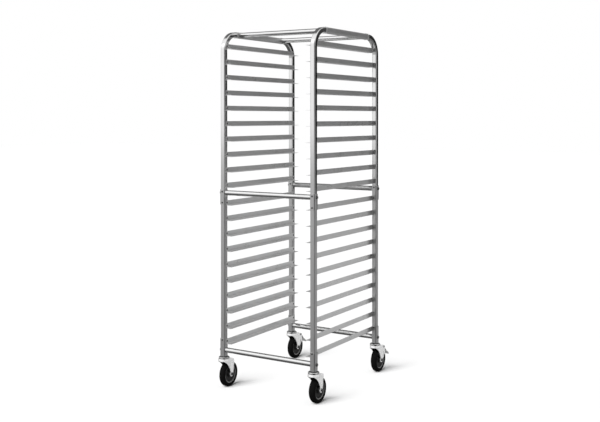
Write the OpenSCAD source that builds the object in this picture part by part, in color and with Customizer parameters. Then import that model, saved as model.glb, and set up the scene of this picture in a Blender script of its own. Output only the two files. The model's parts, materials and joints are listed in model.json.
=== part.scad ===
// Sheet pan rack: a knock-down bakery rack on four swivel casters.
// The origin is on the floor, at the centre of the whole rack's box. X is the width, Y the depth
// (the back, with the two brake pedals, is +Y) and Z is up. Lengths are in millimetres.

/* [Frame] */
// Outside width across the posts
frame_w = 540; // [450:1:650]
// Outside depth across the posts
frame_d = 660; // [600:1:760]
// Height of the posts' top above the floor
post_top = 1766; // [1758:1:1830]
// Side of the square post tube
tube = 25.4; // [25:0.1:28]
// Wall of the post tube
wall = 1.5; // [1.2:0.1:1.8]
// Centreline radius of the bend at the top of each post
bend_r = 88; // [80:1:94]
// Diameter of the round crossbars
bar_d = 25.4; // [24:0.1:25.4]
// Sheet thickness of the brackets on the posts
bracket_t = 3; // [2:0.1:4]

/* [Slides] */
// Spacing of the pan slides
slide_pitch = 76.2; // [74:0.1:76.2]
// Pairs of slides in each half of the rack
slides_per_half = 10; // [4:1:10]
// Height of the lowest ledge's underside above the floor
low_ledge_z = 218.5; // [216:0.5:220]
// Height of a slide's upright leg
slide_leg = 25; // [22:1:27]
// Width of a slide's ledge
slide_ledge = 30; // [24:1:36]
// Thickness of the slide sheet
slide_t = 1.5; // [1.2:0.1:2]

/* [Casters] */
// Wheel diameter
wheel_d = 125; // [122:1:125]
// Width of the tyre
tyre_w = 32; // [28:1:32]
// Distance from the swivel axis back to the axle
trail = 36; // [34:1:38]
// Diameter of the swivel cup
cup_d = 54; // [53:1:56]

/* [Hidden] */
$fn = 64;

// Sides and ends of the rack
left = -1;
right = 1;
front = -1;
back = 1;

// Gap between parts that only rest against each other
fit_gap = 0.1;
// Overrun of a cut past the face it opens, and of one shape into the next of the same piece
cut = 1;

// Post tubes
corner_r = 4.5;
bore = tube - 2 * wall;
bore_r = corner_r - wall;
post_x = (frame_w - tube) / 2;
post_y = (frame_d - tube) / 2;
post_bottom = 158;
rail_z = post_top - tube / 2;
bend_z = rail_z - bend_r;

// Where the lower and upper halves of each post meet
low_half_top = low_ledge_z + (slides_per_half - 1) * slide_pitch;
splice_z = low_half_top + 42;
splice_gap = 11;
high_ledge_z = low_ledge_z + slides_per_half * slide_pitch + splice_gap;

// Top side rails, which slip over the bent ends of the posts
rail_wall = 1.4;
rail_size = tube + 2 * fit_gap + 2 * rail_wall;
rail_r = corner_r + fit_gap + rail_wall;
rail_start = 101;
rail_bead_len = 3;
rail_bead_h = 1.6;
tail_end = 128;
corner_screw_at = 109.5;
top_bar_at = 122;

// Brackets
splice_low = splice_z - 37;
splice_high = splice_z + 37;
base_high = post_bottom + 87;
bracket_lap = 23;
bracket_size = tube + 2 * fit_gap + 2 * bracket_t;
bracket_r = corner_r + fit_gap + bracket_t;

// Crossbars
bar_wall = 1.5;
mid_bar_z = splice_z + 21;
base_bar_z = 188.5;
plug_len = 12;

// Fasteners
bolt_r = 3.9;
bolt_hole_r = 4.3;
bolt_thread_r = 4;
hex_flats = 13;
hex_h = 5.3;
bolt_flange_d = 17;
bolt_flange_h = 1.5;
rivet_r = 2.4;
rivet_hole_r = 2.5;
rivet_head_r = 4.6;
rivet_crown_r = 2.8;
rivet_head_h = 2;
rivet_tail_r = 3;
rivet_tail_h = 3;
rivet_above_ledge = 13.5;
slide_rivet_y = post_y - 5.4;
splice_rivet_inset = 10;
splice_rivet_zs = [splice_low + splice_rivet_inset, splice_high - splice_rivet_inset];
base_rivet_z = base_high - 5;
screw_head_r = 4.8;
screw_crown_r = 3.4;
screw_rim_h = 1.6;
screw_head_h = 2.6;
screw_len = 9;

// Slides
slide_inset = 12;
slide_bend_r = 3;
slide_len = frame_d - 2 * slide_inset;

// Caster swivel: the stem is fixed, and the fork turns on it
stem_r = 6;
stem_top = post_bottom + 20;
stem_bottom = 131;
stem_flange_h = 3;
stem_flange_flats = 22;
post_plug_h = 22;
run_gap = 0.06;
cup_top = post_bottom - stem_flange_h;
cup_wall = 2.6;
cup_shoulder_r = 4;
crown_top = 146;
crown_t = 3;
cup_skirt_gap = 1;
ball_gap = 0.05;
ball_pitch_r = 18;
ball_count = 14;
kingpin_nut_flats = 17;
kingpin_nut_h = 8;
kingpin_nut_gap = 0.3;

// Caster fork
axle_z = wheel_d / 2;
leg_inner = 18;
leg_t = 2.5;
leg_outer = leg_inner + leg_t;
leg_front = -22;
boss_r = 12;
scoop_y = -62.8;
scoop_z = 45.7;
scoop_r = 95.9;
crown_flat = 26;
crown_slope = 1 / 3;
crown_back = 56;
crown_corner_r = 8;
brake_leg_back = 74;
through_fork = 3 * leg_outer;
slot_y = 62.5;
slot_low = 78.5;
slot_high = 99.5;
slot_r = 2.2;
lip_t = 2.5;
lip_h = 12;
lip_back = 6;

// Wheel and axle
axle_bolt_r = 4;
sleeve_r = 6;
sleeve_bore_r = 4.1;
sleeve_half = leg_inner - 0.05;
bush_r = 9;
bush_half = 17;
rim_r = 46;
rim_inner_r = 40;
rim_half = 12;
web_half = 4;
boss_outer_r = 15;
hub_half = 17;
tyre_shoulder_r = 11;
tyre_gap = 0.05;
axle_hex_flats = 13;
axle_head_h = 5.5;
axle_nut_h = 6.5;
axle_thread_past_nut = 2;

// Brake, in axes turned to the lever: s runs down the lever and n stands off the tyre
pin_y = 62.4;
pin_z = 127.4;
pin_r = 3;
pin_head_r = 5;
pin_head_h = 2;
lever_angle = 45;
lever_n = 7.9;
lever_t = 2.5;
lever_start = 2;
lever_end = 84;
lever_half = 15;
tread_half = 20;
tread_len = 26;
tread_corner_r = 6;
ear_inner = 12;
ear_r = 6.5;
ear_reach = 20;
shoe_t = 4;
shoe_start = 22;
shoe_end = 44;
shoe_half = 11;
rib_h = 1;
rib_w = 2;
rib_half = 15;
rib_pitch = 6.5;
rib_count = 3;

// The rack sits so that the origin is at the middle of its box, from the front cups to the pedals
pedal_reach = pin_y + cos(lever_angle) * lever_end + sin(lever_angle) * (lever_n + lever_t);
rack_y = (cup_d / 2 - pedal_reach) / 2;

metal = [0.78, 0.79, 0.80];
bright = [0.88, 0.89, 0.90];
dark_metal = [0.55, 0.56, 0.58];
black = [0.06, 0.06, 0.07];
hub_grey = [0.30, 0.31, 0.32];

// ---- placing ----

// Axes at one post: +X points out of the rack's side and +Y points in from its front or back
module at_post(side, end) {
    translate([side * post_x, end * post_y + rack_y, 0])
        mirror([side < 0 ? 1 : 0, 0, 0])
            mirror([0, end > 0 ? 1 : 0, 0])
                children();
}

// Axes at one caster: +X points out of the rack's side and every caster trails towards +Y
module at_caster(side, end) {
    translate([side * post_x, end * post_y + rack_y, 0])
        mirror([side < 0 ? 1 : 0, 0, 0])
            children();
}

module at_every_post() {
    for (side = [left, right], end = [front, back])
        at_post(side, end)
            children();
}

module at_every_caster() {
    for (side = [left, right], end = [front, back])
        at_caster(side, end)
            children();
}

// Axes at the axle, with Z along it towards the outside of the rack
module at_axle() {
    translate([0, trail, axle_z])
        rotate([0, 90, 0])
            children();
}

// Extrudes an outline drawn as (depth, height) across the width, from x to x + t
module across(x, t) {
    translate([x, 0, 0])
        rotate([90, 0, 90])
            linear_extrude(height = t)
                children();
}

// Extrudes an outline evenly about y = 0 along the depth
module along_depth(length) {
    rotate([90, 0, 0])
        linear_extrude(height = length, center = true)
            children();
}

// ---- profiles and fasteners ----

module rounded_square(size, r) {
    square([size, size - 2 * r], center = true);
    square([size - 2 * r, size], center = true);
    for (x = [-1, 1], y = [-1, 1])
        translate([x * (size / 2 - r), y * (size / 2 - r)])
            circle(r);
}

// A bar of hexagonal section, by its width across the flats
module hexagon(flats, h) {
    cylinder(h = h, r = flats / 2 / cos(30), $fn = 6);
}

// A blind rivet set in a sheet stack: the head's underside is at z = 0 and the tail points down
module blind_rivet(grip) {
    translate([0, 0, -grip - rivet_tail_h])
        cylinder(h = grip + rivet_tail_h + rivet_head_h / 2, r = rivet_r);
    cylinder(h = rivet_head_h / 2, r = rivet_head_r);
    translate([0, 0, rivet_head_h / 2])
        cylinder(h = rivet_head_h / 2, r1 = rivet_head_r, r2 = rivet_crown_r);
    translate([0, 0, -grip - fit_gap - rivet_tail_h])
        cylinder(h = rivet_tail_h, r = rivet_tail_r);
}

// ---- posts ----

module slide_rivet_hole(z) {
    translate([-tube / 2 - cut, post_y - slide_rivet_y, z])
        rotate([0, 90, 0])
            cylinder(h = wall + 2 * cut, r = rivet_hole_r);
}

module rivet_holes_in_end_walls(z) {
    translate([0, 0, z])
        rotate([90, 0, 0])
            cylinder(h = tube + 2 * cut, r = rivet_hole_r, center = true);
}

module crossbar_bolt_holes(z) {
    translate([0, 0, z])
        rotate([0, 90, 0])
            cylinder(h = tube + 2 * cut, r = bolt_hole_r, center = true);
}

module lower_post(side, end) {
    color(metal)
        at_post(side, end)
            difference() {
                translate([0, 0, post_bottom])
                    linear_extrude(height = splice_z - post_bottom - fit_gap)
                        rounded_square(tube, corner_r);
                translate([0, 0, post_bottom - cut])
                    linear_extrude(height = splice_z - post_bottom + 2 * cut)
                        rounded_square(bore, bore_r);
                for (i = [0 : slides_per_half - 1])
                    slide_rivet_hole(low_ledge_z + i * slide_pitch + rivet_above_ledge);
                crossbar_bolt_holes(base_bar_z);
                rivet_holes_in_end_walls(base_rivet_z);
                rivet_holes_in_end_walls(splice_low + splice_rivet_inset);
            }
}

// The run of an upper post: straight up, round the bend and in along the top
module upper_post_run(size, r, start_z, end_y) {
    translate([0, 0, start_z])
        linear_extrude(height = bend_z - start_z)
            rounded_square(size, r);
    translate([0, bend_r, bend_z])
        rotate([0, 90, 0])
            rotate([0, 0, 180])
                rotate_extrude(angle = 90)
                    translate([bend_r, 0])
                        rounded_square(size, r);
    translate([0, bend_r, rail_z])
        rotate([-90, 0, 0])
            linear_extrude(height = end_y - bend_r)
                rounded_square(size, r);
}

module upper_post(side, end) {
    color(bright)
        at_post(side, end)
            difference() {
                upper_post_run(tube, corner_r, splice_z, tail_end);
                upper_post_run(bore, bore_r, splice_z - cut, tail_end + cut);
                for (i = [0 : slides_per_half - 1])
                    slide_rivet_hole(high_ledge_z + i * slide_pitch + rivet_above_ledge);
                crossbar_bolt_holes(mid_bar_z);
                rivet_holes_in_end_walls(splice_high - splice_rivet_inset);
                translate([0, corner_screw_at, rail_z + tube / 2 - wall - cut])
                    cylinder(h = wall + 2 * cut, r = rivet_hole_r);
            }
}

module post_plugs() {
    color(dark_metal)
        at_every_post()
            translate([0, 0, post_bottom])
                difference() {
                    linear_extrude(height = post_plug_h)
                        rounded_square(bore - fit_gap, bore_r);
                    translate([0, 0, -cut])
                        cylinder(h = post_plug_h + 2 * cut, r = stem_r + fit_gap / 2);
                }
}

// ---- top frame ----

// A square sleeve with a rolled bead round each end
module top_side_rail(side) {
    rail_len = 2 * (post_y - rail_start);
    color(metal)
        translate([side * post_x, rack_y, rail_z])
            difference() {
                union() {
                    along_depth(rail_len)
                        rounded_square(rail_size, rail_r);
                    for (end = [front, back])
                        translate([0, end * (rail_len - rail_bead_len) / 2, 0])
                            along_depth(rail_bead_len)
                                rounded_square(rail_size + 2 * rail_bead_h, rail_r + rail_bead_h);
                }
                along_depth(rail_len + 2 * cut)
                    rounded_square(rail_size - 2 * rail_wall, rail_r - rail_wall);
                for (end = [front, back])
                    translate([0, end * (post_y - corner_screw_at), 0])
                        cylinder(h = rail_size, r = rivet_hole_r);
            }
}

module corner_screw() {
    translate([0, 0, -screw_len])
        cylinder(h = screw_len + screw_head_h / 2, r = rivet_r);
    cylinder(h = screw_rim_h, r = screw_head_r);
    translate([0, 0, screw_rim_h])
        cylinder(h = screw_head_h - screw_rim_h, r1 = screw_head_r, r2 = screw_crown_r);
}

module top_corner_screws() {
    color(dark_metal)
        at_every_post()
            translate([0, corner_screw_at, rail_z + rail_size / 2])
                corner_screw();
}

// ---- crossbars ----

// A round tube between two faces at x = -half and x = half
module crossbar(half, y, z) {
    color(bright)
        translate([0, y + rack_y, z])
            rotate([0, 90, 0])
                difference() {
                    cylinder(h = 2 * half, r = bar_d / 2, center = true);
                    cylinder(h = 2 * half + 2 * cut, r = bar_d / 2 - bar_wall, center = true);
                }
}

module top_crossbar(end) {
    crossbar(post_x - rail_size / 2, end * (post_y - top_bar_at), rail_z);
}

module mid_crossbar(end) {
    crossbar(post_x - tube / 2 - fit_gap, end * post_y, mid_bar_z);
}

module base_crossbar(end) {
    crossbar(post_x - tube / 2 - fit_gap, end * post_y, base_bar_z);
}

// Threaded plugs pressed in the ends of the bolted crossbars
module crossbar_plugs() {
    color(dark_metal)
        at_every_post()
            for (z = [base_bar_z, mid_bar_z])
                translate([-tube / 2 - fit_gap - plug_len, 0, z])
                    rotate([0, 90, 0])
                        difference() {
                            cylinder(h = plug_len, r = bar_d / 2 - bar_wall - fit_gap / 2);
                            translate([0, 0, -cut])
                                cylinder(h = plug_len + 2 * cut, r = bolt_thread_r);
                        }
}

// A flanged hex bolt through a bracket and a post into the crossbar's plug
module crossbar_bolt() {
    bolt_len = bracket_t + fit_gap + tube + plug_len;
    translate([0, 0, -bolt_len])
        cylinder(h = bolt_len + bolt_flange_h, r = bolt_r);
    cylinder(h = bolt_flange_h, r = bolt_flange_d / 2);
    hexagon(hex_flats, hex_h);
}

module crossbar_bolts() {
    color(dark_metal)
        at_every_post()
            for (z = [base_bar_z, mid_bar_z])
                translate([tube / 2 + fit_gap + bracket_t, 0, z])
                    rotate([0, 90, 0])
                        crossbar_bolt();
}

// ---- brackets ----

// A channel folded round a post's outer, front and back faces; the inner face stays clear for slides
module post_bracket(low, high, rivet_zs, bolt_z) {
    difference() {
        translate([0, 0, low])
            linear_extrude(height = high - low)
                difference() {
                    rounded_square(bracket_size, bracket_r);
                    rounded_square(bracket_size - 2 * bracket_t, bracket_r - bracket_t);
                    translate([tube / 2 - bracket_lap - bracket_size, -bracket_size])
                        square([bracket_size, 2 * bracket_size]);
                }
        translate([0, 0, bolt_z])
            rotate([0, 90, 0])
                cylinder(h = tube, r = bolt_hole_r);
        for (z = rivet_zs)
            translate([0, 0, z])
                rotate([90, 0, 0])
                    cylinder(h = 2 * bracket_size, r = rivet_hole_r, center = true);
    }
}

module splice_brackets() {
    color(metal)
        at_every_post()
            post_bracket(splice_low, splice_high, splice_rivet_zs, mid_bar_z);
}

module base_brackets() {
    color(metal)
        at_every_post()
            post_bracket(post_bottom, base_high, [base_rivet_z], base_bar_z);
}

// Blind rivets through each bracket's front and back flanges
module bracket_rivets() {
    color(dark_metal)
        at_every_post()
            for (z = concat(splice_rivet_zs, [base_rivet_z]), turn = [90, -90])
                translate([0, 0, z])
                    rotate([turn, 0, 0])
                        translate([0, 0, tube / 2 + fit_gap + bracket_t])
                            blind_rivet(bracket_t + fit_gap + wall);
}

// ---- slides ----

// Section of a slide: its upright leg lies against x = 0 and its ledge reaches towards -X
module slide_section() {
    translate([-slide_t, slide_bend_r])
        square([slide_t, slide_leg - slide_bend_r]);
    translate([-slide_ledge, 0])
        square([slide_ledge - slide_bend_r, slide_t]);
    translate([-slide_bend_r, slide_bend_r])
        intersection() {
            difference() {
                circle(slide_bend_r);
                circle(slide_bend_r - slide_t);
            }
            translate([0, -slide_bend_r])
                square(slide_bend_r);
        }
}

module slide() {
    difference() {
        along_depth(slide_len)
            slide_section();
        for (end = [front, back])
            translate([-slide_t - cut, end * slide_rivet_y, rivet_above_ledge])
                rotate([0, 90, 0])
                    cylinder(h = slide_t + 2 * cut, r = rivet_hole_r);
    }
}

// Slides of one side and one half, from the ledge height of the lowest
module slides(side, first_z) {
    color(metal)
        for (i = [0 : slides_per_half - 1])
            translate([side * (post_x - tube / 2 - fit_gap), rack_y, first_z + i * slide_pitch])
                mirror([side < 0 ? 1 : 0, 0, 0])
                    slide();
}

module slide_rivets(side) {
    head_x = -tube / 2 - fit_gap - slide_t;
    color(dark_metal)
        for (end = [front, back], first_z = [low_ledge_z, high_ledge_z], i = [0 : slides_per_half - 1])
            at_post(side, end)
                translate([head_x, post_y - slide_rivet_y, first_z + i * slide_pitch + rivet_above_ledge])
                    rotate([0, -90, 0])
                        blind_rivet(slide_t + fit_gap + wall);
}

// ---- caster swivel ----

// Threaded stem screwed up into the post's plug; its lower end is the kingpin the fork turns on
module caster_stems() {
    color(bright)
        at_every_caster() {
            translate([0, 0, stem_bottom])
                cylinder(h = stem_top - stem_bottom, r = stem_r);
            translate([0, 0, cup_top])
                hexagon(stem_flange_flats, stem_flange_h);
        }
}

// Pressed cup over the ball race
module swivel_cups() {
    skirt_low = crown_top + cup_skirt_gap;
    cup_r = cup_d / 2;
    color(bright)
        at_every_caster()
            rotate_extrude() {
                translate([stem_r + fit_gap, cup_top - cup_wall])
                    square([cup_r - stem_r - fit_gap - cup_shoulder_r, cup_wall]);
                translate([cup_r - cup_wall, skirt_low])
                    square([cup_wall, cup_top - cup_shoulder_r - skirt_low]);
                translate([cup_r - cup_shoulder_r, cup_top - cup_shoulder_r])
                    intersection() {
                        difference() {
                            circle(cup_shoulder_r);
                            circle(cup_shoulder_r - cup_wall);
                        }
                        square(cup_shoulder_r);
                    }
            }
}

module swivel_balls() {
    ball_d = cup_top - cup_wall - crown_top - 2 * ball_gap;
    color(bright)
        at_every_caster()
            for (i = [0 : ball_count - 1])
                rotate([0, 0, i * 360 / ball_count])
                    translate([ball_pitch_r, 0, crown_top + ball_gap + ball_d / 2])
                        sphere(d = ball_d);
}

module kingpin_nuts() {
    color(dark_metal)
        at_every_caster()
            translate([0, 0, crown_top - crown_t - kingpin_nut_gap - kingpin_nut_h])
                difference() {
                    hexagon(kingpin_nut_flats, kingpin_nut_h);
                    translate([0, 0, -cut])
                        cylinder(h = kingpin_nut_h + 2 * cut, r = stem_r + fit_gap / 2);
                }
}

// ---- caster fork ----

// Height of the crown plate's top behind the swivel, where it slopes down
function crown_z(y) = crown_top - crown_slope * (y - crown_flat);

// Back edge of a fork leg as (depth, height) points, from the crown down; braked forks reach further
function leg_back_edge(end) =
    end == front
        ? [[crown_back, crown_z(crown_back)], [58.6, 119], [54, 104]]
        : [[brake_leg_back, crown_z(brake_leg_back)], [76, 120], [76, 90]];

// Upright slot in each leg of a braked fork
module leg_slot() {
    translate([slot_y - slot_r, slot_low])
        square([2 * slot_r, slot_high - slot_low]);
    for (z = [slot_low, slot_high])
        translate([slot_y, z])
            circle(slot_r);
}

// Outline of a fork leg as (depth, height): broad under the crown, scooped in front, narrow at the axle
module leg_outline(end) {
    front_edge = [[trail, axle_z], [leg_front, axle_z], [leg_front, crown_top], [crown_flat, crown_top]];
    difference() {
        polygon(concat(front_edge, leg_back_edge(end), [[trail + boss_r, axle_z]]));
        translate([scoop_y, scoop_z])
            circle(scoop_r);
        if (end == back)
            leg_slot();
    }
    translate([trail, axle_z])
        circle(boss_r);
}

// Crown plate seen from above, round at the swivel and square-ended over the wheel
module crown_outline() {
    circle(cup_d / 2);
    translate([-leg_outer, 0])
        square([2 * leg_outer, crown_back - crown_corner_r]);
    translate([crown_corner_r - leg_outer, 0])
        square([2 * (leg_outer - crown_corner_r), crown_back]);
    for (side = [left, right])
        translate([side * (leg_outer - crown_corner_r), crown_back - crown_corner_r])
            circle(crown_corner_r);
}

// Crown plate, level round the swivel and sloping down over the wheel
module crown_plate() {
    low = crown_z(crown_back) - crown_t;
    top_edge = [[-cup_d / 2, crown_top], [crown_flat, crown_top], [crown_back, crown_z(crown_back)]];
    intersection() {
        translate([0, 0, low])
            linear_extrude(height = crown_top - low)
                crown_outline();
        across(-cup_d / 2, cup_d)
            polygon([for (i = [0, 1, 2]) top_edge[i], for (i = [2, 1, 0]) top_edge[i] - [0, crown_t]]);
    }
}

module front_lip() {
    translate([0, 0, crown_top - lip_h])
        linear_extrude(height = lip_h)
            intersection() {
                difference() {
                    circle(cup_d / 2);
                    circle(cup_d / 2 - lip_t);
                }
                translate([-cup_d, lip_back - 2 * cup_d])
                    square(2 * cup_d);
            }
}

module fork(side, end) {
    color(bright)
        at_caster(side, end)
            difference() {
                union() {
                    crown_plate();
                    front_lip();
                    for (x = [-leg_outer, leg_inner])
                        across(x, leg_t)
                            leg_outline(end);
                }
                translate([0, 0, crown_top - crown_t - cut])
                    cylinder(h = crown_t + 2 * cut, r = stem_r + run_gap);
                at_axle()
                    cylinder(h = through_fork, r = axle_bolt_r + fit_gap, center = true);
                if (end == back)
                    translate([0, pin_y, pin_z])
                        rotate([0, 90, 0])
                            cylinder(h = through_fork, r = pin_r + fit_gap / 2, center = true);
            }
}

// ---- axle and wheel ----

// Bolt, spacer sleeve and nut that carry one wheel
module axle_set(side, end) {
    shank_start = -leg_outer - axle_nut_h - axle_thread_past_nut;
    color(dark_metal)
        at_caster(side, end)
            at_axle() {
                translate([0, 0, shank_start])
                    cylinder(h = leg_outer - shank_start + cut, r = axle_bolt_r);
                translate([0, 0, leg_outer])
                    hexagon(axle_hex_flats, axle_head_h);
                translate([0, 0, -leg_outer - axle_nut_h])
                    difference() {
                        hexagon(axle_hex_flats, axle_nut_h);
                        translate([0, 0, -cut])
                            cylinder(h = axle_nut_h + 2 * cut, r = axle_bolt_r + fit_gap / 2);
                    }
                difference() {
                    cylinder(h = 2 * sleeve_half, r = sleeve_r, center = true);
                    cylinder(h = 2 * sleeve_half + 2 * cut, r = sleeve_bore_r, center = true);
                }
            }
}

// A ring about the axle, from its inner and outer radii and half its length
module axle_ring(inner_r, outer_r, half) {
    translate([inner_r, -half])
        square([outer_r - inner_r, 2 * half]);
}

module wheel_hub(side, end) {
    color(hub_grey)
        at_caster(side, end)
            at_axle()
                rotate_extrude() {
                    axle_ring(bush_r, boss_outer_r, hub_half);
                    axle_ring(boss_outer_r - cut, rim_inner_r + cut, web_half);
                    axle_ring(rim_inner_r, rim_r, rim_half);
                }
}

// Plain bearing pressed in the hub, running on the axle's sleeve
module wheel_bush(side, end) {
    color(bright)
        at_caster(side, end)
            at_axle()
                rotate_extrude()
                    axle_ring(sleeve_r + run_gap, bush_r - ball_gap, bush_half);
}

module tyre(side, end) {
    tread_r = wheel_d / 2;
    half = tyre_w / 2;
    color(black)
        at_caster(side, end)
            at_axle()
                rotate_extrude() {
                    axle_ring(rim_r + tyre_gap, tread_r - tyre_shoulder_r, half);
                    axle_ring(rim_r + tyre_gap, tread_r, half - tyre_shoulder_r);
                    intersection() {
                        axle_ring(rim_r + tyre_gap, tread_r, half);
                        for (z = [-1, 1])
                            translate([tread_r - tyre_shoulder_r, z * (half - tyre_shoulder_r)])
                                circle(tyre_shoulder_r);
                    }
                }
}

// ---- brake ----

// Axes at the brake pin, with Y down the lever and Z standing off the tyre
module at_lever(side) {
    at_caster(side, back)
        translate([0, pin_y, pin_z])
            rotate([-lever_angle, 0, 0])
                children();
}

// One of the pedal's two ears, from round the pin up to the lever
module ear_outline() {
    circle(ear_r);
    polygon([[-ear_r, 0], [lever_start, lever_n + cut], [ear_reach, lever_n + cut], [ear_r, 0]]);
}

module brake_pedal(side) {
    tread_start = lever_end - tread_len;
    color(metal)
        at_lever(side)
            difference() {
                union() {
                    translate([0, 0, lever_n])
                        linear_extrude(height = lever_t) {
                            translate([-lever_half, lever_start])
                                square([2 * lever_half, lever_end - tread_len]);
                            translate([-tread_half, tread_start])
                                square([2 * tread_half, tread_len - tread_corner_r]);
                            translate([tread_corner_r - tread_half, tread_start])
                                square([2 * (tread_half - tread_corner_r), tread_len]);
                            for (x = [-1, 1])
                                translate([x * (tread_half - tread_corner_r), lever_end - tread_corner_r])
                                    circle(tread_corner_r);
                        }
                    for (x = [-ear_inner - leg_t, ear_inner])
                        across(x, leg_t)
                            ear_outline();
                    for (i = [1 : rib_count])
                        translate([-rib_half, tread_start + i * rib_pitch, lever_n + lever_t])
                            cube([2 * rib_half, rib_w, rib_h]);
                }
                rotate([0, 90, 0])
                    cylinder(h = through_fork, r = pin_r + run_gap, center = true);
            }
}

module brake_shoe(side) {
    color(black)
        at_lever(side)
            translate([-shoe_half, shoe_start, lever_n - shoe_t])
                cube([2 * shoe_half, shoe_end - shoe_start, shoe_t]);
}

module brake_pin(side) {
    color(dark_metal)
        at_lever(side)
            rotate([0, 90, 0]) {
                cylinder(h = 2 * leg_outer + pin_head_h, r = pin_r, center = true);
                for (z = [-leg_outer - pin_head_h, leg_outer])
                    translate([0, 0, z])
                        cylinder(h = pin_head_h, r = pin_head_r);
            }
}

// ---- nodes ----

lower_post(left, front);  // lower_post_front_left
lower_post(right, front);  // lower_post_front_right
lower_post(left, back);  // lower_post_back_left
lower_post(right, back);  // lower_post_back_right
upper_post(left, front);  // upper_post_front_left
upper_post(right, front);  // upper_post_front_right
upper_post(left, back);  // upper_post_back_left
upper_post(right, back);  // upper_post_back_right
top_side_rail(left);  // top_side_rail_left
top_side_rail(right);  // top_side_rail_right
top_crossbar(front);  // top_crossbar_front
top_crossbar(back);  // top_crossbar_back
mid_crossbar(front);  // mid_crossbar_front
mid_crossbar(back);  // mid_crossbar_back
base_crossbar(front);  // base_crossbar_front
base_crossbar(back);  // base_crossbar_back
slides(left, low_ledge_z);  // lower_left_slides
slides(right, low_ledge_z);  // lower_right_slides
slides(left, high_ledge_z);  // upper_left_slides
slides(right, high_ledge_z);  // upper_right_slides
splice_brackets();
base_brackets();
crossbar_plugs();
crossbar_bolts();
bracket_rivets();
slide_rivets(left);  // left_slide_rivets
slide_rivets(right);  // right_slide_rivets
top_corner_screws();
post_plugs();
caster_stems();
swivel_cups();
swivel_balls();
kingpin_nuts();
fork(left, front);  // fork_front_left
fork(right, front);  // fork_front_right
fork(left, back);  // fork_back_left
fork(right, back);  // fork_back_right
axle_set(left, front);  // axle_set_front_left
axle_set(right, front);  // axle_set_front_right
axle_set(left, back);  // axle_set_back_left
axle_set(right, back);  // axle_set_back_right
wheel_hub(left, front);  // wheel_hub_front_left
wheel_hub(right, front);  // wheel_hub_front_right
wheel_hub(left, back);  // wheel_hub_back_left
wheel_hub(right, back);  // wheel_hub_back_right
wheel_bush(left, front);  // wheel_bush_front_left
wheel_bush(right, front);  // wheel_bush_front_right
wheel_bush(left, back);  // wheel_bush_back_left
wheel_bush(right, back);  // wheel_bush_back_right
tyre(left, front);  // tyre_front_left
tyre(right, front);  // tyre_front_right
tyre(left, back);  // tyre_back_left
tyre(right, back);  // tyre_back_right
brake_pedal(left);  // brake_pedal_left
brake_pedal(right);  // brake_pedal_right
brake_shoe(left);  // brake_shoe_left
brake_shoe(right);  // brake_shoe_right
brake_pin(left);  // brake_pin_left
brake_pin(right);  // brake_pin_right
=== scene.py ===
"""Looks of a sheet pan rack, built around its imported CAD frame. Lengths are in metres."""
import json
import math

import bmesh
import bpy
from mathutils import Euler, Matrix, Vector

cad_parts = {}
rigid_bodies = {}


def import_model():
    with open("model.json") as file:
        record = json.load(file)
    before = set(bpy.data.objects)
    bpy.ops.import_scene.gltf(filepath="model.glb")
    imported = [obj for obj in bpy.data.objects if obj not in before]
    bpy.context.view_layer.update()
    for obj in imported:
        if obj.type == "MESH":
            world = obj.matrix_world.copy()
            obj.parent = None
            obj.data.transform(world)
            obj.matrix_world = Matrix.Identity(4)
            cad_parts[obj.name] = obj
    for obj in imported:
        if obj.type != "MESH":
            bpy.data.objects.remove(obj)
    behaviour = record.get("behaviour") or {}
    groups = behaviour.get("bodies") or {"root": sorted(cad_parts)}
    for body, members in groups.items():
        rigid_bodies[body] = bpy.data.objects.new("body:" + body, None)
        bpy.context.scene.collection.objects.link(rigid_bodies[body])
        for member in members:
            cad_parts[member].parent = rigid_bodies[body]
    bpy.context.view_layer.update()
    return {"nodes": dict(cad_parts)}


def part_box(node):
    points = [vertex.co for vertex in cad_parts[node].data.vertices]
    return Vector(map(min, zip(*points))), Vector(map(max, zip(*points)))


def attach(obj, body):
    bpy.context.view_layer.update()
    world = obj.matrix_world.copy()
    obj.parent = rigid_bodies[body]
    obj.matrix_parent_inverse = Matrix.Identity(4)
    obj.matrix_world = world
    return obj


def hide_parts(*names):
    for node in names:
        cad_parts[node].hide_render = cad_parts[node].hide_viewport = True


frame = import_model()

NODES = frame["nodes"]
MM = 0.001

# ---- node graphs ----


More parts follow.
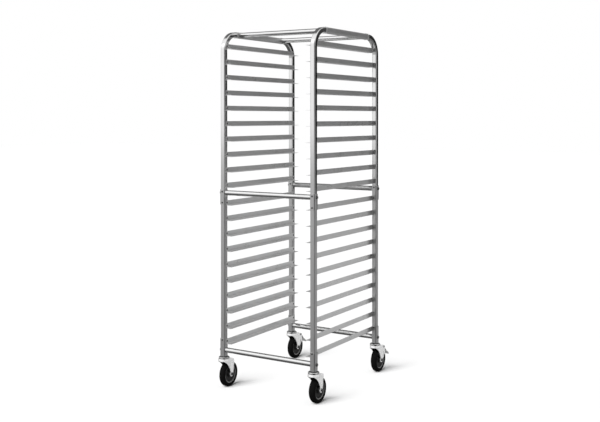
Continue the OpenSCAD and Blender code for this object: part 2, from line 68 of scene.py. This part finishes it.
class Graph:
    """A node tree that is being filled. A socket passed as an input is linked, any other value is set."""

    def __init__(self, tree):
        self.tree = tree
        tree.nodes.clear()

    def add(self, kind, inputs=None, **settings):
        node = self.tree.nodes.new("ShaderNode" + kind)
        for name, value in settings.items():
            setattr(node, name, value)
        for name, value in (inputs or {}).items():
            if isinstance(value, bpy.types.NodeSocket):
                self.tree.links.new(value, node.inputs[name])
            else:
                node.inputs[name].default_value = value
        return node

    def math(self, operation, a, b=0.0):
        return self.add("Math", {0: a, 1: b}, operation=operation).outputs[0]

    def remap(self, value, low, high, to_low=0.0, to_high=1.0):
        """Smooth step of value from low..high to to_low..to_high."""
        ranges = {"From Min": low, "From Max": high, "To Min": to_low, "To Max": to_high}
        node = self.add("MapRange", {"Value": value, **ranges}, interpolation_type="SMOOTHSTEP")
        return node.outputs[0]

    def mix_colours(self, share, a, b):
        node = self.add("Mix", data_type="RGBA")
        for name, value in (("Factor_Float", share), ("A_Color", a), ("B_Color", b)):
            socket = next(s for s in node.inputs if s.identifier == name)
            if isinstance(value, bpy.types.NodeSocket):
                self.tree.links.new(value, socket)
            else:
                socket.default_value = value
        return next(s for s in node.outputs if s.identifier == "Result_Color")

    def noise(self, scale, detail=3.0, stretch=(1, 1, 1), roughness=0.55):
        """Noise in the object's own axes, in cycles a metre along each of them."""
        place = self.add("TexCoord").outputs["Object"]
        placed = self.add("Mapping", {"Vector": place, "Scale": [scale * s for s in stretch]})
        inputs = {"Vector": placed.outputs[0], "Scale": 1.0, "Detail": detail, "Roughness": roughness}
        return self.add("TexNoise", inputs).outputs["Fac"]

    def open_share(self, distance):
        """1 where the surface is open to its surroundings, falling to 0 in a crevice."""
        return self.add("AmbientOcclusion", {"Distance": distance}, samples=8).outputs["AO"]

    def axis_distance(self):
        """Distance from the object's own X axis, in metres."""
        place = self.add("TexCoord").outputs["Object"]
        across = self.add("VectorMath", {0: place, 1: (0, 1, 1)}, operation="MULTIPLY").outputs["Vector"]
        return self.add("VectorMath", {0: across}, operation="LENGTH").outputs["Value"]


def grey(level, warmth=0.0):
    return (level * (1 + warmth), level, level * (1 - warmth), 1.0)


def new_material(name):
    material = bpy.data.materials.new(name)
    material.use_nodes = True
    return material, Graph(material.node_tree)


def finish_material(graph, surface):
    graph.add("OutputMaterial", {"Surface": surface.outputs[0]})


# ---- materials ----

# How far noise is squeezed along each axis, so that it draws a grain along that axis
GRAIN = 0.012
ALONG = {"X": (GRAIN, 1, 1), "Y": (1, GRAIN, 1), "Z": (1, 1, GRAIN)}
# How deep the bump of each material is
GRAIN_DEPTH = 0.02 * MM
DIMPLE_DEPTH = 0.06 * MM
MOULD_GRAIN_DEPTH = 0.12 * MM
# How much the cloudiness of the polish changes the roughness of the steel
CLOUDY_POLISH = 0.05


def edge_mask(graph, radius):
    """(normal rounded over edges of this radius, mask that is 1 on those edges)."""
    rounded = graph.add("Bevel", {"Radius": radius}, samples=4).outputs[0]
    flat = graph.add("NewGeometry").outputs["Normal"]
    agree = graph.add("VectorMath", {0: rounded, 1: flat}, operation="DOT_PRODUCT").outputs["Value"]
    return rounded, graph.remap(agree, 0.995, 0.90)


def steel(name, level, roughness, grain, edge=0.5 * MM, metallic=1.0):
    """Brushed steel with its grain along one axis, cloudy polish, fine scratches and bright worn edges."""
    material, g = new_material(name)
    fine = g.noise(2600, detail=2, stretch=ALONG[grain])
    coarse = g.noise(420, detail=4, stretch=ALONG[grain])
    cloud = g.noise(7, detail=4)
    scratch = g.remap(g.noise(900, detail=1, stretch=ALONG[grain]), 0.66, 0.72)
    rounded, edges = edge_mask(g, edge)
    streak = g.math("MULTIPLY_ADD", coarse, 0.6)
    streak.node.inputs[2].default_value = 0.2
    shade = g.math("ADD", g.math("MULTIPLY", streak, 0.6), g.math("MULTIPLY", cloud, 0.4))
    colour = g.mix_colours(shade, grey(level * 0.86, 0.004), grey(level * 1.08, -0.004))
    colour = g.mix_colours(g.math("MULTIPLY", edges, 0.6), colour, grey(min(level * 1.15, 0.97)))
    rough = g.math("ADD", roughness - CLOUDY_POLISH / 2, g.math("MULTIPLY", cloud, CLOUDY_POLISH))
    rough = g.math("ADD", rough, g.math("MULTIPLY", fine, 0.05))
    rough = g.math("ADD", rough, g.math("MULTIPLY", scratch, 0.08))
    rough = g.math("SUBTRACT", rough, g.math("MULTIPLY", edges, 0.04))
    height = g.math("SUBTRACT", fine, g.math("MULTIPLY", scratch, 0.6))
    bump = g.add("Bump", {"Height": height, "Normal": rounded, "Strength": 0.35, "Distance": GRAIN_DEPTH})
    surface = g.add("BsdfPrincipled", {
        "Base Color": colour, "Roughness": rough, "Metallic": metallic, "Normal": bump.outputs[0]})
    finish_material(g, surface)
    return material


def zinc(name, level, roughness, metallic=1.0):
    """Bright zinc plate: no grain, faint clouds, a soft dimpled surface and painted shade that darkens its
    crevices.
    """
    material, g = new_material(name)
    cloud = g.noise(38, detail=5)
    dimple = g.noise(420, detail=2)
    rounded, edges = edge_mask(g, 0.7 * MM)
    colour = g.mix_colours(cloud, grey(level * 0.88, -0.006), grey(level * 1.06, 0.004))
    colour = g.mix_colours(g.math("MULTIPLY", edges, 0.5), colour, grey(0.96))
    # Painted shade: the colour falls to near black where ambient occlusion finds a crevice, as at the joins
    # of cup, post and crown.
    colour = g.mix_colours(g.remap(g.open_share(12 * MM), 0.35, 0.85), grey(0.03), colour)
    rough = g.math("ADD", roughness - 0.05, g.math("MULTIPLY", cloud, 0.10))
    rough = g.math("ADD", rough, g.math("MULTIPLY", dimple, 0.05))
    bump = g.add("Bump", {"Height": dimple, "Normal": rounded, "Strength": 0.12, "Distance": DIMPLE_DEPTH})
    surface = g.add("BsdfPrincipled", {
        "Base Color": colour, "Roughness": rough, "Metallic": metallic, "Normal": bump.outputs[0]})
    finish_material(g, surface)
    return material


def moulded(name, level, roughness, dust=0.0, shine=0.25, edge_level=0.02, edge=0.6 * MM, rim=None):
    """Rubber or plastic: near black, fine moulded grain, pale dust and scuffs where it is rubbed,
    painted highlights on its rounded edges and painted shade in its recesses.
    rim is (radius, level) of a paler band, a painted highlight, outside that distance from the piece's own
    X axis."""
    material, g = new_material(name)
    cloud = g.noise(60, detail=5)
    grain = g.noise(2400, detail=2)
    scuff = g.remap(g.noise(130, detail=5, stretch=(1, 1, 0.4)), 0.56, 0.70)
    rounded, edges = edge_mask(g, edge)
    colour = g.mix_colours(cloud, grey(level * 0.75, 0.01), grey(level * 1.3, 0.0))
    colour = g.mix_colours(g.math("MULTIPLY", scuff, dust), colour, grey(0.16, 0.02))
    # Painted highlight: paler colour along the rounded edges.
    colour = g.mix_colours(g.math("MULTIPLY", edges, 0.8), colour, grey(edge_level))
    # Painted highlight: a paler band on the rim, outside rim[0] from the axis.
    if rim:
        band = g.remap(g.axis_distance(), rim[0], rim[0] + MM)
        colour = g.mix_colours(band, colour, grey(rim[1]))
    # Painted shade: darker where ambient occlusion finds a recess, such as the hub's web.
    colour = g.mix_colours(g.remap(g.open_share(20 * MM), 0.55, 0.95), grey(level * 0.1), colour)
    rough = g.math("ADD", roughness, g.math("MULTIPLY", cloud, 0.14))
    rough = g.math("ADD", rough, g.math("MULTIPLY", scuff, 0.12))
    height = g.math("ADD", g.math("MULTIPLY", grain, 0.4), cloud)
    bump = g.add("Bump", {
        "Height": height, "Normal": rounded, "Strength": 0.3, "Distance": MOULD_GRAIN_DEPTH})
    surface = g.add("BsdfPrincipled", {
        "Base Color": colour, "Roughness": rough, "Specular IOR Level": shine, "Normal": bump.outputs[0]})
    finish_material(g, surface)
    return material


POST = steel("post_satin_steel", 0.60, 0.28, "Z")
UPPER_POST = steel("post_polished_steel", 0.80, 0.08, "Z")
RAIL = steel("rail_satin_steel", 0.58, 0.30, "Y", metallic=0.75)
BAR = steel("crossbar_polished_steel", 0.76, 0.15, "X")
SATIN_BAR = steel("crossbar_satin_steel", 0.50, 0.30, "X")
SLIDE = steel("slide_satin_steel", 0.90, 0.26, "Y", metallic=0.85)
BRACKET = steel("bracket_steel", 0.60, 0.28, "Z")
FASTENER = steel("fastener_steel", 0.20, 0.22, "Z", edge=0.3 * MM)
WELD = steel("weld_steel", 0.55, 0.30, "X", edge=0.3 * MM)
ZINC = zinc("caster_zinc", 0.86, 0.25, metallic=0.45)
CUP = zinc("cup_zinc", 0.70, 0.06)
# Painted highlights: the hub's paler rounded edges and paler rim band stand in for light on its rim.
HUB = moulded("hub_plastic", 0.02, 0.36, shine=0.3, edge_level=0.10, edge=1.2 * MM, rim=(39 * MM, 0.16))
TYRE = moulded("tyre_rubber", 0.003, 0.5, dust=0.01, shine=0.05, edge_level=0.006)
SHOE = moulded("shoe_rubber", 0.010, 0.55)

LOOKS = {
    "lower_post": POST, "upper_post": UPPER_POST, "top_side_rail": RAIL,
    "mid_crossbar_back": SATIN_BAR, "top_crossbar": BAR, "mid_crossbar": BAR, "base_crossbar": BAR,
    "lower_left_slides": SLIDE, "lower_right_slides": SLIDE,
    "upper_left_slides": SLIDE, "upper_right_slides": SLIDE,
    "splice_brackets": BRACKET, "base_brackets": BRACKET,
    "caster_stems": CUP, "swivel_cups": CUP, "swivel_balls": CUP,
    "fork": ZINC, "brake_pedal": ZINC, "wheel_hub": HUB, "tyre": TYRE, "brake_shoe": SHOE,
}


def dress_nodes():
    """Gives every CAD node the material of the start of its name; what is left is a fastener."""
    for name, node in NODES.items():
        match = [look for start, look in LOOKS.items() if name.startswith(start)]
        for slot in node.material_slots:
            slot.material = match[0] if match else FASTENER


dress_nodes()

# ---- turned pieces ----


def arc(r, x, radius, start, end, steps=8):
    """Points (radius from the axis, place along it) round part of a circle; 0 degrees points outwards."""
    turns = [math.radians(start + (end - start) * i / steps) for i in range(steps + 1)]
    return [(r + radius * math.cos(a), x + radius * math.sin(a)) for a in turns]


def turned(name, outline, centre, body, material, segments=96, ripple=0.0, ripples=0):
    """A closed ring about an axis along X, from its outline as (radius, place) points in metres.
    Its radius swells and shrinks by the share ripple, so many times a turn."""
    mesh = bpy.data.meshes.new(name)
    shape = bmesh.new()
    rings = []
    for i in range(segments):
        turn = math.tau * i / segments
        swell = 1 + ripple * math.sin(ripples * turn)
        across, up = math.cos(turn) * swell, math.sin(turn) * swell
        rings.append([shape.verts.new((x, r * across, r * up)) for r, x in outline])
    for ring, after in zip(rings, rings[1:] + rings[:1]):
        for j in range(len(outline)):
            k = (j + 1) % len(outline)
            shape.faces.new((ring[j], ring[k], after[k], after[j]))
    bmesh.ops.recalc_face_normals(shape, faces=shape.faces)
    shape.to_mesh(mesh)
    shape.free()
    mesh.shade_smooth()
    mesh.set_sharp_from_angle(angle=math.radians(32))
    mesh.materials.append(material)
    piece = bpy.data.objects.new(name, mesh)
    piece.location = centre
    bpy.context.scene.collection.objects.link(piece)
    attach(piece, body)
    return piece


def mirrored(outline):
    """The outline followed by its own mirror image across the middle of the axis."""
    return outline + [(r, -x) for r, x in reversed(outline)]


def node_middle(name):
    low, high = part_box(name)
    return (Vector(low) + Vector(high)) / 2, Vector(high) - Vector(low)


def tyre(corner):
    """Solid rubber tyre: round crown, a moulding line on each shoulder and a lip against the rim."""
    node = f"tyre_{corner}"
    centre, size = node_middle(node)
    rim_r = node_middle(f"wheel_hub_{corner}")[1].z / 2
    tread_r, half = size.z / 2, size.x / 2
    shoulder, line = 11 * MM, 0.5 * MM
    lip, lip_edge = 1.6 * MM, 0.4 * MM
    seat_r, side_r = rim_r + 0.05 * MM, tread_r - shoulder
    outline = [(seat_r, half - lip), (seat_r + lip - MM, half - lip_edge), (seat_r + lip, half)]
    outline += [(side_r - lip, half), (side_r - lip + lip_edge, half - line), (side_r, half - line)]
    outline += arc(side_r, half - shoulder, shoulder, 86, 62, 4)
    outline += arc(side_r, half - shoulder, shoulder - line, 60, 57, 1)
    outline += arc(side_r, half - shoulder, shoulder, 55, 0, 10)
    piece = turned(f"moulded_{node}", mirrored(outline), centre, f"wheel_{corner}", TYRE)
    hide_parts(node)


def hub(corner):
    """Moulded wheel core: a tapered boss, a recessed web with a raised ring, and a rim with a round lip."""
    node = f"wheel_hub_{corner}"
    centre, size = node_middle(node)
    rim_r, half = size.z / 2, size.x / 2
    bore_r, boss_r, web, lip = 9 * MM, 15 * MM, 4 * MM, 12 * MM
    inner_r, ring_r = rim_r - 6 * MM, rim_r - 13 * MM
    chamfer, boss_edge, fillet, bead, draft = MM, 1.5 * MM, 2 * MM, 1.4 * MM, 0.2 * MM
    outline = [(bore_r, half - chamfer), (bore_r + chamfer, half), (boss_r - boss_edge, half)]
    outline += arc(boss_r - boss_edge, half - boss_edge, boss_edge, 90, 10, 4)
    outline += arc(boss_r + fillet + 6 * draft, web + fillet, fillet, 190, 270, 4)
    outline += arc(ring_r, web, bead, 180, 0, 8)
    outline += arc(inner_r - fillet, web + fillet, fillet, 270, 350, 4)
    outline += arc(inner_r + bead + draft, lip - bead, bead, 170, 90, 4)
    outline += arc(rim_r - bead, lip - bead, bead, 90, 0, 4)
    piece = turned(f"moulded_{node}", mirrored(outline), centre, f"wheel_{corner}", HUB)
    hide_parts(node)


def weld_beads():
    """A rippled bead of weld round each end of the two top crossbars."""
    bead_r, sunk = 1.5 * MM, 0.8 * MM
    ripple, ripples, segments = 0.012, 26, 144
    for end in ("front", "back"):
        centre, size = node_middle(f"top_crossbar_{end}")
        for side, sign in (("left", -1), ("right", 1)):
            place = centre + Vector((sign * (size.x / 2 - sunk), 0, 0))
            outline = arc(size.z / 2, 0, bead_r, 0, 330, 11)
            name = f"weld_bead_{end}_{side}"
            piece = turned(name, outline, place, "frame", WELD, segments, ripple, ripples)


CORNERS = [f"{end}_{side}" for end in ("front", "back") for side in ("left", "right")]
for corner in CORNERS:
    tyre(corner)
    hub(corner)
weld_beads()

# ---- studio ----

CAMERA_PLACE = Vector((2.423, -4.0462, 1.340))
CAMERA_TURN = Euler((math.radians(89.53), 0, math.radians(32.018)))
CAMERA_LENS = 55.04
CAMERA_SHIFT = (0.0179, -0.1436)
SEEN_WHITE = 1.0
DOME_LEVEL = 0.25
FLOOR_SIZE = 60.0
CASTER_PARTS = ("fork", "brake", "axle", "moulded", "wheel", "caster", "swivel", "kingpin")

# Lights and dark cards: azimuth and elevation of the centre, full reach, fade beyond it (degrees), level
FRONT_BOX = (-38, 10, 24, 12, 0.88)
SIDE_BOXES = ((95, 10, 12, 10, 0.7), (205, 12, 14, 10, 0.6), (-92, 12, 12, 10, 0.7))
LOW_CARDS = ((158, 2, 12.5, 5, 0.98), (-146, 2, 18, 8, 0.95))
HIGH_CARDS = ((34, -8, 20, 8, 0.95), (-148, 48, 30, 16, 0.85))
# Suns: azimuth, elevation, spread (degrees), level
KEY_SUN = (-6, 38, 50, 1.45)
FILL_SUN = (112, 22, 60, 0.5)


def direction(azimuth, elevation):
    """Unit vector; azimuth 0 is the front (-Y) and 90 the right (+X)."""
    a, e = math.radians(azimuth), math.radians(elevation)
    return (math.sin(a) * math.cos(e), -math.cos(a) * math.cos(e), math.sin(e))


def softbox(g, ray, azimuth, elevation, reach, fade, level):
    """A round patch of light: full inside reach degrees of its centre, gone fade degrees further out."""
    near = g.add("VectorMath", {0: ray, 1: direction(azimuth, elevation)}, operation="DOT_PRODUCT")
    outer, inner = math.cos(math.radians(reach + fade)), math.cos(math.radians(reach))
    return g.remap(near.outputs["Value"], outer, inner, 0.0, level)


def studio_world():
    """Plain white to the camera; a grey room with softboxes to whatever reflects it.
    height is the sine of a ray's elevation: -1 straight down, 0 level, 1 straight up."""
    world = bpy.data.worlds.new("studio")
    world.use_nodes = True
    world.cycles.sampling_method = "NONE"
    bpy.context.scene.world = world
    g = Graph(world.node_tree)
    ray = g.add("TexCoord").outputs["Generated"]
    height = g.add("SeparateXYZ", {0: ray}).outputs["Z"]
    floor_glow = g.remap(height, -0.40, -0.20, 0.10, 0.50)
    room = g.remap(height, -0.03, 0.03)
    level = g.math("MULTIPLY_ADD", room, g.math("SUBTRACT", 0.15, floor_glow))
    g.tree.links.new(floor_glow, level.node.inputs[2])
    level = g.math("ADD", level, g.remap(height, 0.25, 0.75, 0.0, 0.92))
    above_table = g.remap(height, -0.07, 0.03)
    for box in (FRONT_BOX, *SIDE_BOXES):
        level = g.math("ADD", level, g.math("MULTIPLY", softbox(g, ray, *box), above_table))
    dark_band = g.math("MULTIPLY", g.remap(height, -0.125, -0.075), g.remap(height, 0.12, 0.08))
    cards = [g.math("MULTIPLY", softbox(g, ray, *card), dark_band) for card in LOW_CARDS]
    cards += [softbox(g, ray, *card) for card in HIGH_CARDS]
    for black in cards:
        level = g.math("MULTIPLY", level, g.math("SUBTRACT", 1.0, black))
    path = g.add("LightPath").outputs
    seen = g.add("Background", {"Color": (1, 1, 1, 1), "Strength": SEEN_WHITE})
    mirrored_room = g.add("Background", {"Color": (1, 1, 1, 1), "Strength": level})
    dome = g.add("Background", {"Color": (1, 1, 1, 1), "Strength": DOME_LEVEL})
    shading = g.add("MixShader", {
        0: path["Is Glossy Ray"], 1: dome.outputs[0], 2: mirrored_room.outputs[0]})
    final = g.add("MixShader", {0: path["Is Camera Ray"], 1: shading.outputs[0], 2: seen.outputs[0]})
    g.add("OutputWorld", {"Surface": final.outputs[0]})


def studio_floor():
    bpy.ops.mesh.primitive_plane_add(size=FLOOR_SIZE)
    floor = bpy.context.object
    floor.name = "studio_floor"
    floor.visible_glossy = False
    material, g = new_material("floor_paper")
    tone = g.noise(3, detail=2)
    colour = g.mix_colours(tone, grey(0.90), grey(0.91))
    finish_material(g, g.add("BsdfDiffuse", {"Color": colour, "Roughness": 0.0}))
    floor.data.materials.append(material)


def caster_group():
    """The pieces of the casters, as a group that lights can be linked to."""
    group = bpy.data.collections.new("caster_pieces")
    for piece in bpy.data.objects:
        if piece.type == "MESH" and piece.name.startswith(CASTER_PARTS):
            group.objects.link(piece)
    return group


def sun(name, azimuth, elevation, spread, level):
    """A broad, even light whose level is what a white face turned straight to it would show."""
    data = bpy.data.lights.new(name, "SUN")
    data.angle = math.radians(spread)
    data.energy = level * math.pi
    light = bpy.data.objects.new(name, data)
    light.rotation_euler = Vector(direction(azimuth, elevation)).to_track_quat("Z", "Y").to_euler()
    light.visible_glossy = False
    bpy.context.scene.collection.objects.link(light)
    return light


def studio_lights():
    """Both lights are shaded by the casters alone, and the fill reaches nothing else."""
    group = caster_group()
    key = sun("key", *KEY_SUN)
    key.light_linking.blocker_collection = group
    fill = sun("fill", *FILL_SUN)
    fill.light_linking.blocker_collection = group
    fill.light_linking.receiver_collection = group


def studio_camera():
    """A shifted lens keeps the rack's uprights upright; from any other place the lens is centred again."""
    data = bpy.data.cameras.new("camera")
    data.sensor_width = 36.0
    data.lens = CAMERA_LENS
    camera = bpy.data.objects.new("camera", data)
    camera.location = CAMERA_PLACE
    camera.rotation_euler = CAMERA_TURN
    bpy.context.scene.collection.objects.link(camera)
    bpy.context.scene.camera = camera
    for path, shift in zip(("shift_x", "shift_y"), CAMERA_SHIFT):
        driver = data.driver_add(path).driver
        variable = driver.variables.new()
        variable.name = "x"
        variable.targets[0].id = camera
        variable.targets[0].data_path = "location.x"
        driver.expression = f"{shift} if abs(x - {CAMERA_PLACE.x:.4f}) < 0.001 else 0.0"


studio_world()
studio_floor()
studio_lights()
studio_camera()
bpy.context.scene.view_settings.view_transform = "Standard"
